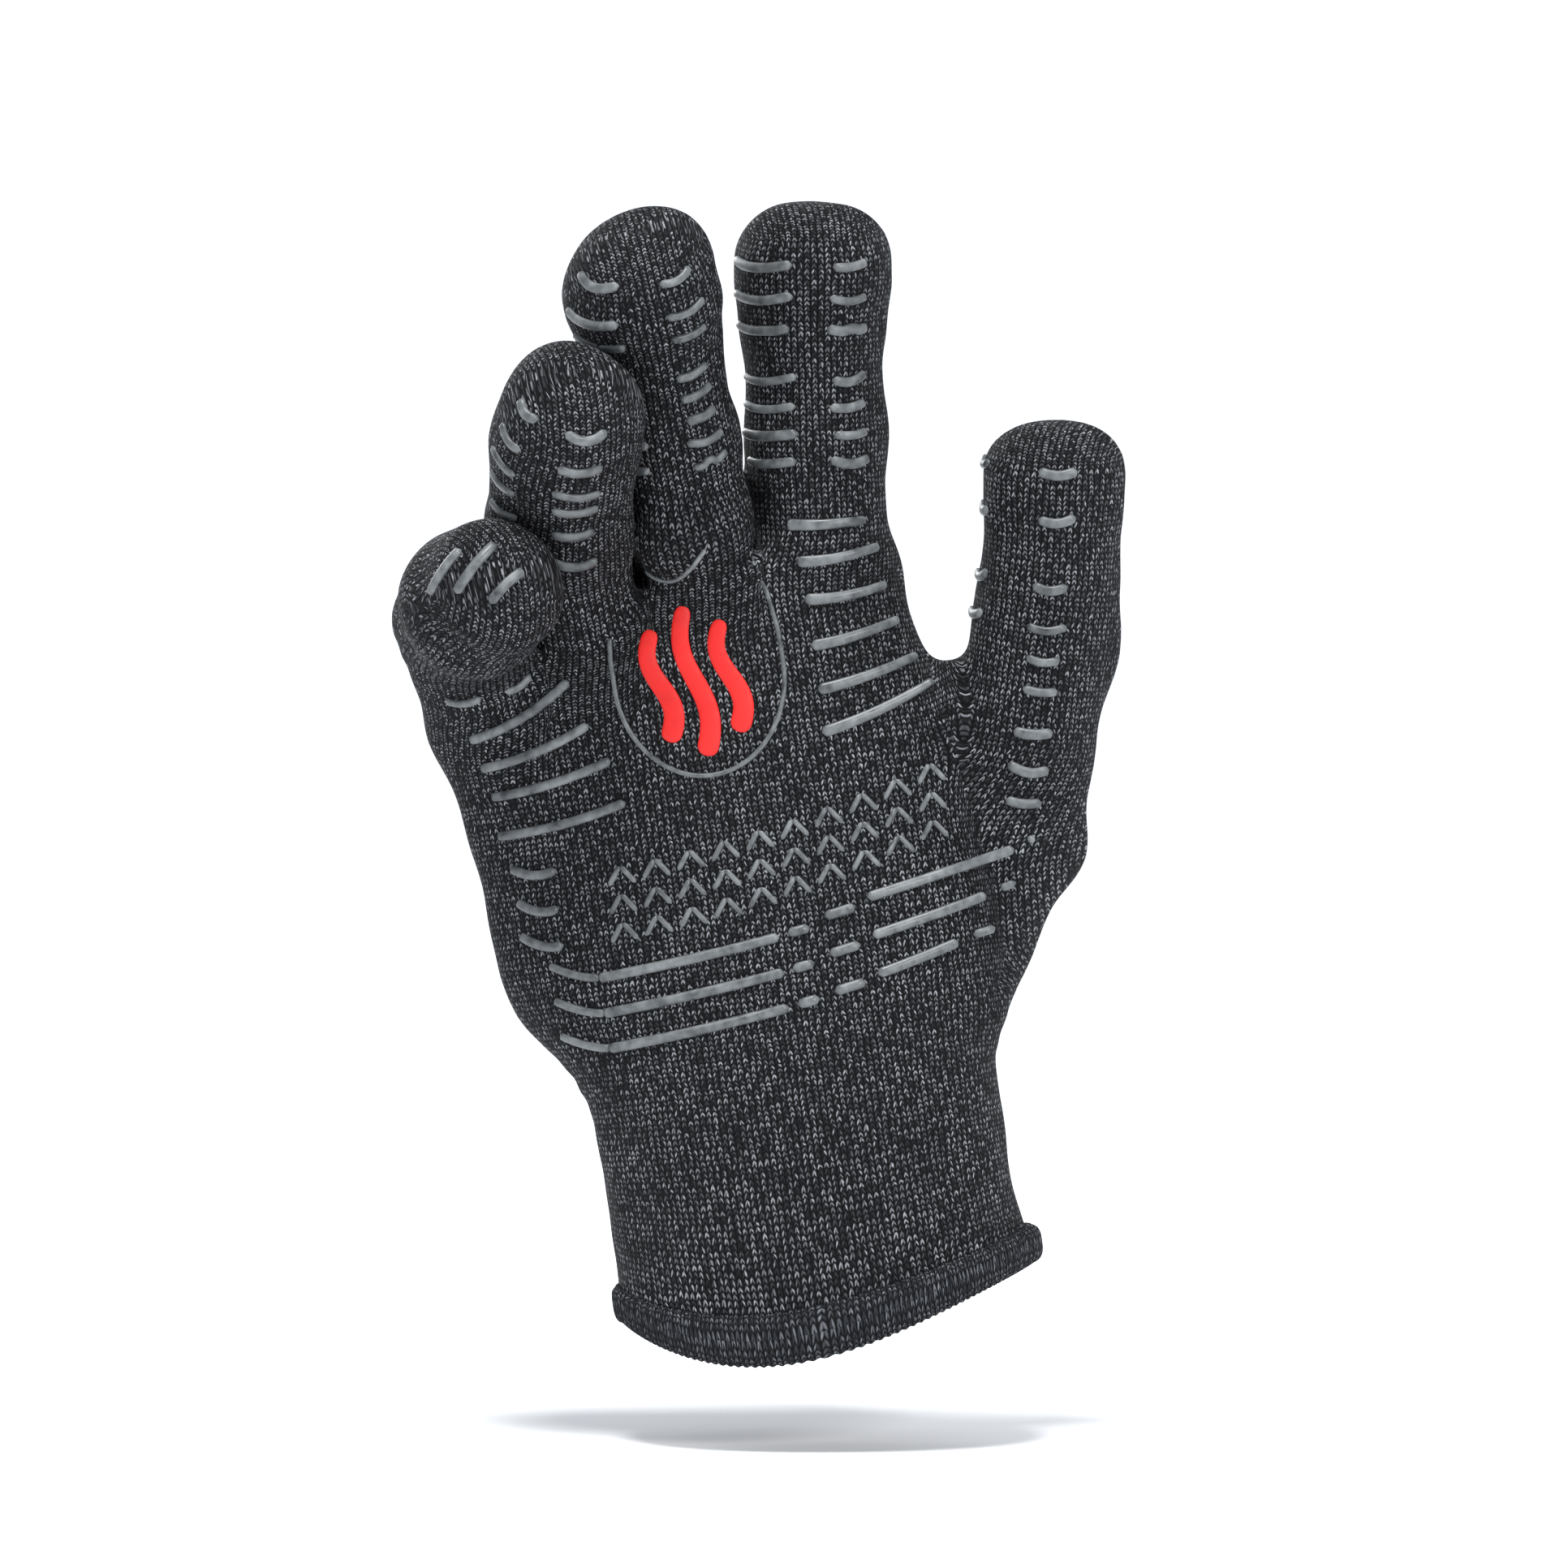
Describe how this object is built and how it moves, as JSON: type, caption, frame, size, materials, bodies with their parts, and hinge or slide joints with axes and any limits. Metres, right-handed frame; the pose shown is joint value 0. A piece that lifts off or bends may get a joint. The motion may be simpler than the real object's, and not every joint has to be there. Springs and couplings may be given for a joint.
{
  "type": "heat resistant glove",
  "caption": "Knitted heat resistant glove for the right hand, with raised silicone grips, a lined cuff and fingers that bend at every joint.",
  "frame": {"origin": "centre of the cuff's mouth, in the plane of the hem", "axes": "+Z along the cuff's axis towards the fingertips, +X towards the thumb side, -Y out of the palm"},
  "size_m": [0.1709, 0.0996, 0.255],
  "materials": {
    "shell_knit": "matte charcoal aramid knit with light flecks",
    "liner_cotton": "soft dark grey cotton knit",
    "hem_knit": "tight black overlocked knit",
    "grey_silicone": "satin dark grey silicone",
    "red_silicone": "satin bright red silicone"
  },
  "bodies": {
    "cuff": {"cuff_shell": "shell_knit", "cuff_liner": "liner_cotton", "hem_band": "hem_knit", "wrist_fold": "shell_knit"},
    "palm": {"palm_shell": "shell_knit", "palm_liner": "liner_cotton", "heel_grip_left_1": "grey_silicone", "heel_grip_left_2": "grey_silicone", "heel_grip_left_3": "grey_silicone", "heel_grip_right_1": "grey_silicone", "heel_grip_right_2": "grey_silicone", "heel_grip_right_3": "grey_silicone", "badge_border": "grey_silicone", "badge_wave_1": "red_silicone", "badge_wave_2": "red_silicone", "badge_wave_3": "red_silicone", "index_base_fold": "shell_knit", "middle_base_fold": "shell_knit", "ring_base_fold": "shell_knit", "little_base_fold": "shell_knit", "thumb_base_fold": "shell_knit"},
    "index_base": {"index_base_shell": "shell_knit", "index_base_liner": "liner_cotton", "index_mid_fold": "shell_knit"},
    "index_mid": {"index_mid_shell": "shell_knit", "index_mid_liner": "liner_cotton", "index_tip_fold": "shell_knit"},
    "index_tip": {"index_tip_shell": "shell_knit", "index_tip_liner": "liner_cotton"},
    "middle_base": {"middle_base_shell": "shell_knit", "middle_base_liner": "liner_cotton", "middle_mid_fold": "shell_knit"},
    "middle_mid": {"middle_mid_shell": "shell_knit", "middle_mid_liner": "liner_cotton", "middle_tip_fold": "shell_knit"},
    "middle_tip": {"middle_tip_shell": "shell_knit", "middle_tip_liner": "liner_cotton"},
    "ring_base": {"ring_base_shell": "shell_knit", "ring_base_liner": "liner_cotton", "ring_mid_fold": "shell_knit"},
    "ring_mid": {"ring_mid_shell": "shell_knit", "ring_mid_liner": "liner_cotton", "ring_tip_fold": "shell_knit"},
    "ring_tip": {"ring_tip_shell": "shell_knit", "ring_tip_liner": "liner_cotton"},
    "little_base": {"little_base_shell": "shell_knit", "little_base_liner": "liner_cotton", "little_mid_fold": "shell_knit"},
    "little_mid": {"little_mid_shell": "shell_knit", "little_mid_liner": "liner_cotton", "little_tip_fold": "shell_knit"},
    "little_tip": {"little_tip_shell": "shell_knit", "little_tip_liner": "liner_cotton"},
    "thumb_base": {"thumb_base_shell": "shell_knit", "thumb_base_liner": "liner_cotton", "thumb_tip_fold": "shell_knit"},
    "thumb_tip": {"thumb_tip_shell": "shell_knit", "thumb_tip_liner": "liner_cotton"}
  },
  "joints": [
    {"name": "wrist", "type": "hinge", "parent": "cuff", "child": "palm", "pos_m": [0, 0, 0.058], "axis": [1, 0, 0], "range_deg": [-24, 24], "stiffness_Nm_per_rad": 1.5, "deforming": ["wrist_fold"]},
    {"name": "index_knuckle", "type": "hinge", "parent": "palm", "child": "index_base", "pos_m": [0.0295, 0, 0.17], "axis": [0.9863, 0.1564, -0.0517], "range_deg": [-12, 62], "stiffness_Nm_per_rad": 0.12, "deforming": ["index_base_fold"]},
    {"name": "index_middle_joint", "type": "hinge", "parent": "index_base", "child": "index_mid", "pos_m": [0.03163, -0.00361, 0.19971], "axis": [0.9863, 0.1564, -0.0517], "range_deg": [-4, 70], "stiffness_Nm_per_rad": 0.06, "deforming": ["index_mid_fold"]},
    {"name": "index_end_joint", "type": "hinge", "parent": "index_mid", "child": "index_tip", "pos_m": [0.03368, -0.00778, 0.2263], "axis": [0.9863, 0.1564, -0.0517], "range_deg": [-2.41, 42.01], "stiffness_Nm_per_rad": 0.06, "deforming": ["index_tip_fold"]},
    {"name": "middle_knuckle", "type": "hinge", "parent": "palm", "child": "middle_base", "pos_m": [-0.002, 0, 0.171], "axis": [0.9928, 0.1045, 0.059], "range_deg": [-31, 43], "stiffness_Nm_per_rad": 0.12, "deforming": ["middle_base_fold", "badge_border", "badge_wave_1", "badge_wave_2", "badge_wave_3"]},
    {"name": "middle_middle_joint", "type": "hinge", "parent": "middle_base", "child": "middle_mid", "pos_m": [-0.00227, -0.0157, 0.2034], "axis": [0.9928, 0.1045, 0.059], "range_deg": [-6, 68], "stiffness_Nm_per_rad": 0.06, "deforming": ["middle_mid_fold"]},
    {"name": "middle_end_joint", "type": "hinge", "parent": "middle_mid", "child": "middle_tip", "pos_m": [-0.00225, -0.03011, 0.22856], "axis": [0.9928, 0.1045, 0.059], "range_deg": [-3.61, 40.81], "stiffness_Nm_per_rad": 0.06, "deforming": ["middle_tip_fold"]},
    {"name": "ring_knuckle", "type": "hinge", "parent": "palm", "child": "ring_base", "pos_m": [-0.034, 0, 0.163], "axis": [0.9901, 0.1219, 0.0692], "range_deg": [-47, 27], "stiffness_Nm_per_rad": 0.12, "deforming": ["ring_base_fold"]},
    {"name": "ring_middle_joint", "type": "hinge", "parent": "ring_base", "child": "ring_mid", "pos_m": [-0.033, -0.02258, 0.1884], "axis": [0.9901, 0.1219, 0.0692], "range_deg": [-6, 68], "stiffness_Nm_per_rad": 0.06, "deforming": ["ring_mid_fold"]},
    {"name": "ring_end_joint", "type": "hinge", "parent": "ring_mid", "child": "ring_tip", "pos_m": [-0.03194, -0.04186, 0.20727], "axis": [0.9901, 0.1219, 0.0692], "range_deg": [-3.61, 40.81], "stiffness_Nm_per_rad": 0.06, "deforming": ["ring_tip_fold"]},
    {"name": "little_knuckle", "type": "hinge", "parent": "palm", "child": "little_base", "pos_m": [-0.0625, 0, 0.147], "axis": [0.9848, 0.1392, 0.1035], "range_deg": [-39, 35], "stiffness_Nm_per_rad": 0.12, "deforming": ["little_base_fold"]},
    {"name": "little_middle_joint", "type": "hinge", "parent": "little_base", "child": "little_mid", "pos_m": [-0.06274, -0.0144, 0.16865], "axis": [0.9848, 0.1392, 0.1035], "range_deg": [-49, 25], "stiffness_Nm_per_rad": 0.06, "deforming": ["little_mid_fold"]},
    {"name": "little_end_joint", "type": "hinge", "parent": "little_mid", "child": "little_tip", "pos_m": [-0.06009, -0.03592, 0.17239], "axis": [0.9848, 0.1392, 0.1035], "range_deg": [-14.71, 7.51], "stiffness_Nm_per_rad": 0.06, "deforming": ["little_tip_fold"]},
    {"name": "thumb_knuckle", "type": "hinge", "parent": "palm", "child": "thumb_base", "pos_m": [0.066, -0.002, 0.1], "axis": [0.9633, -0.1736, -0.2048], "range_deg": [-13, 25], "stiffness_Nm_per_rad": 0.12, "deforming": ["thumb_base_fold"]},
    {"name": "thumb_end_joint", "type": "hinge", "parent": "thumb_base", "child": "thumb_tip", "pos_m": [0.0773, -0.0105, 0.16037], "axis": [0.9633, -0.1736, -0.2048], "range_deg": [-6, 56], "stiffness_Nm_per_rad": 0.06, "deforming": ["thumb_tip_fold"]}
  ],
  "couplings": [
    {"joint": "index_end_joint", "follows": "index_middle_joint", "ratio": 0.6},
    {"joint": "middle_end_joint", "follows": "middle_middle_joint", "ratio": 0.6},
    {"joint": "ring_end_joint", "follows": "ring_middle_joint", "ratio": 0.6},
    {"joint": "little_end_joint", "follows": "little_middle_joint", "ratio": 0.3}
  ]
}
